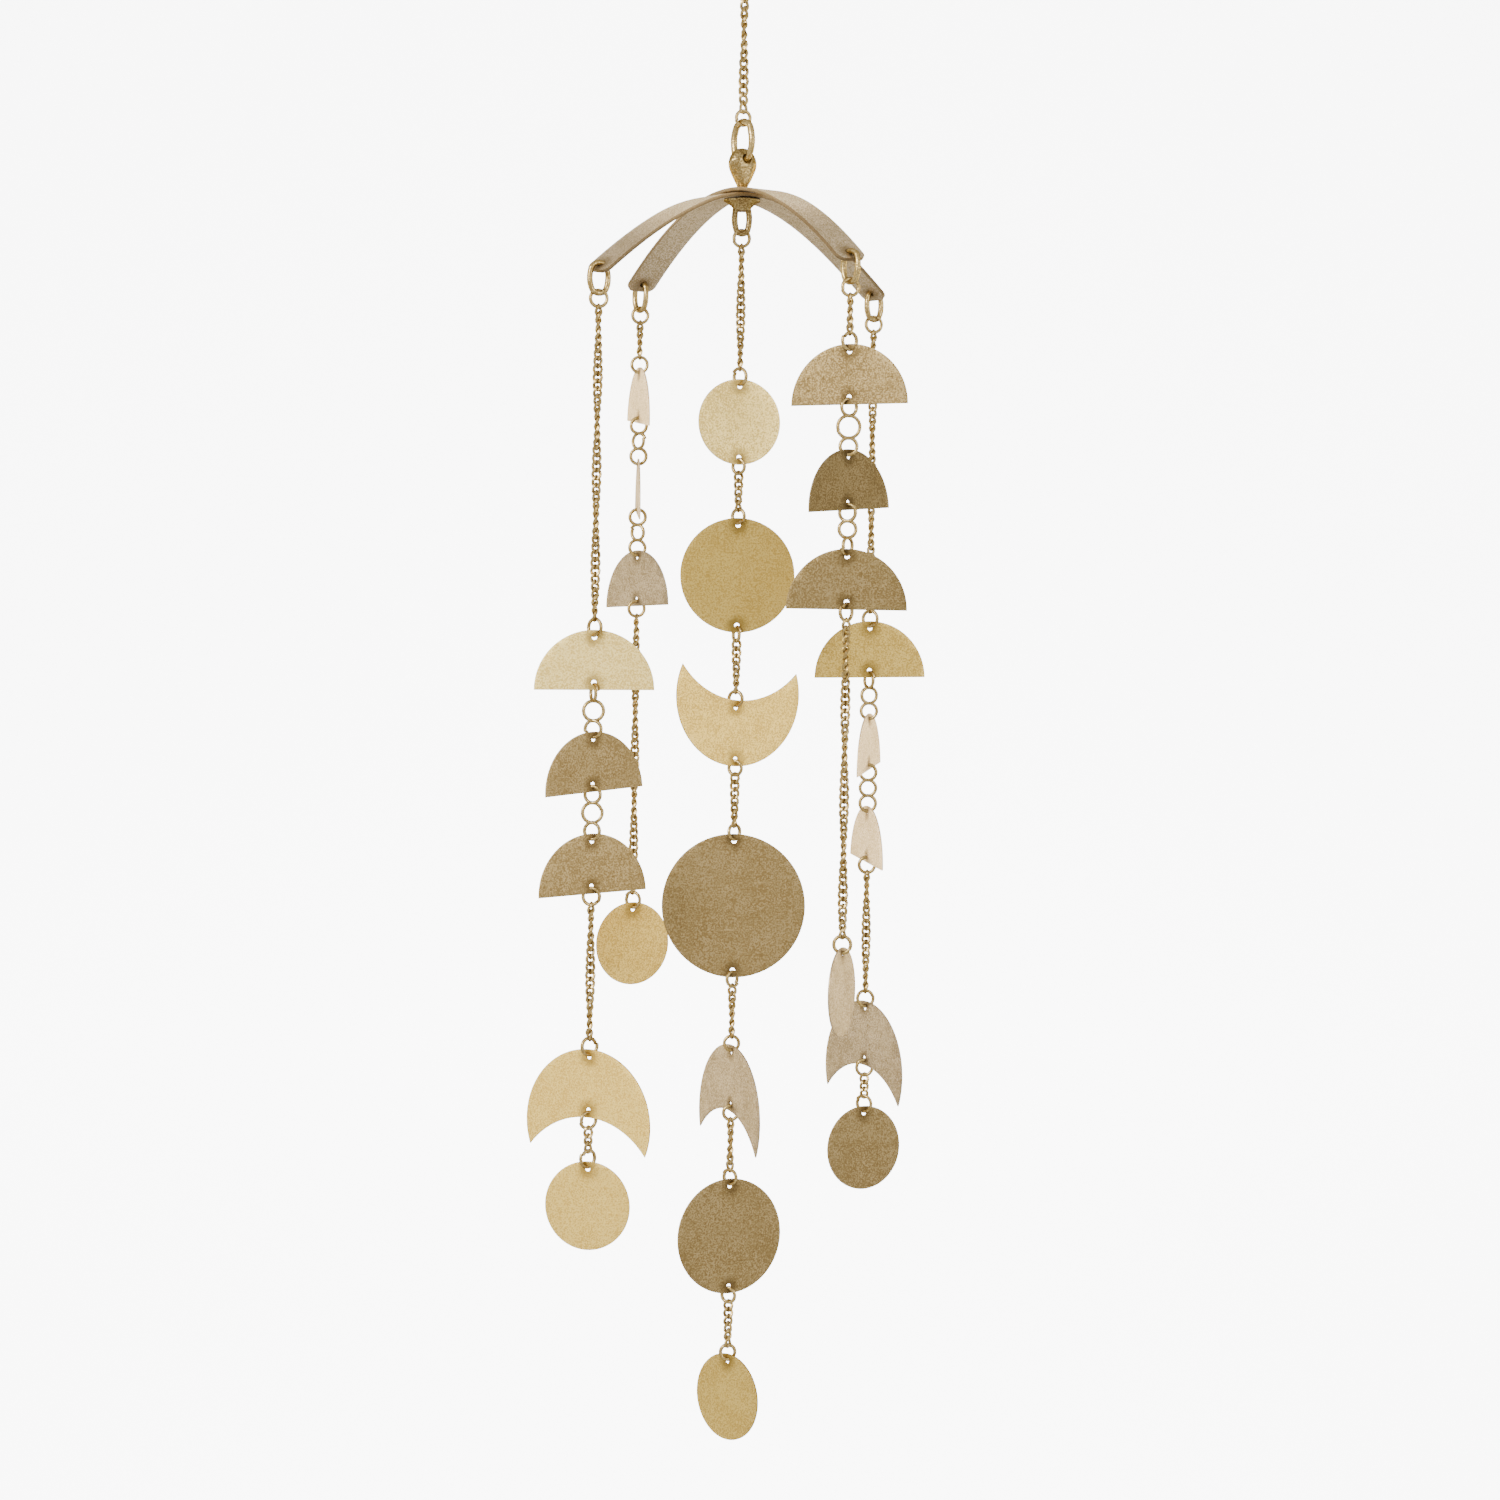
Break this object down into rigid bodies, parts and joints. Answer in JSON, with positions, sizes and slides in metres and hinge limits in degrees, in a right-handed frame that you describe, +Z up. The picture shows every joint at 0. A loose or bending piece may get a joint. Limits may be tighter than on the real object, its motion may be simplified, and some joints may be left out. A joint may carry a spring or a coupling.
{
  "type": "hanging mobile",
  "caption": "Antiqued brass moon-phase mobile: crossed arched bars carry strands of discs, half discs and crescents on chain.",
  "frame": {"origin": "inside top of the hanging ring, where a hook carries the mobile", "axes": "+Z up along the hanging chain, -Y towards the viewer of the picture, +X to the viewer's right"},
  "size_m": [0.1755, 0.1679, 0.6559],
  "materials": {
    "pale_brass": "matte antiqued, pale",
    "golden_brass": "matte antiqued, light gold",
    "olive_brass": "matte antiqued, dark olive gold",
    "grey_brass": "matte antiqued, pale beige grey",
    "bar_brass": "matte antiqued strip",
    "cast_brass": "rough cast, dark in the hollows",
    "chain_brass": "satin wire"
  },
  "bodies": {
    "root": {"hanging_chain": "chain_brass", "oval_link": "chain_brass", "cast_eye": "cast_brass", "flared_cap": "cast_brass", "lower_arch": "bar_brass", "upper_arch": "bar_brass", "front_left_tip_ring": "chain_brass", "front_left_chain_1": "chain_brass", "front_left_half_disc_upper": "pale_brass", "front_left_rings_2": "chain_brass", "front_left_half_disc_middle": "olive_brass", "front_left_rings_3": "chain_brass", "front_left_half_disc_lower": "olive_brass", "front_left_chain_4": "chain_brass", "front_left_crescent": "golden_brass", "front_left_chain_5": "chain_brass", "front_left_disc": "golden_brass", "back_right_tip_ring": "chain_brass", "back_right_chain_1": "chain_brass", "back_right_half_disc_upper": "golden_brass", "back_right_rings_2": "chain_brass", "back_right_half_disc_middle": "grey_brass", "back_right_rings_3": "chain_brass", "back_right_half_disc_lower": "grey_brass", "back_right_chain_4": "chain_brass", "back_right_crescent": "grey_brass", "back_right_chain_5": "chain_brass", "back_right_disc": "olive_brass", "back_left_tip_ring": "chain_brass", "back_left_chain_1": "chain_brass", "back_left_half_disc_upper": "grey_brass", "back_left_rings_2": "chain_brass", "back_left_half_disc_middle": "grey_brass", "back_left_rings_3": "chain_brass", "back_left_half_disc_lower": "grey_brass", "back_left_chain_4": "chain_brass", "back_left_disc": "golden_brass", "front_right_tip_ring": "chain_brass", "front_right_chain_1": "chain_brass", "front_right_half_disc_upper": "olive_brass", "front_right_rings_2": "chain_brass", "front_right_half_disc_middle": "olive_brass", "front_right_rings_3": "chain_brass", "front_right_half_disc_lower": "olive_brass", "front_right_chain_4": "chain_brass", "front_right_disc": "grey_brass", "centre_chain_1": "chain_brass", "centre_small_disc_upper": "pale_brass", "centre_chain_2": "chain_brass", "centre_medium_disc_upper": "golden_brass", "centre_chain_3": "chain_brass", "centre_rising_crescent": "golden_brass", "centre_chain_4": "chain_brass", "centre_large_disc": "olive_brass", "centre_chain_5": "chain_brass", "centre_falling_crescent": "grey_brass", "centre_chain_6": "chain_brass", "centre_medium_disc_lower": "olive_brass", "centre_chain_7": "chain_brass", "centre_small_disc_lower": "golden_brass"}
  },
  "joints": []
}
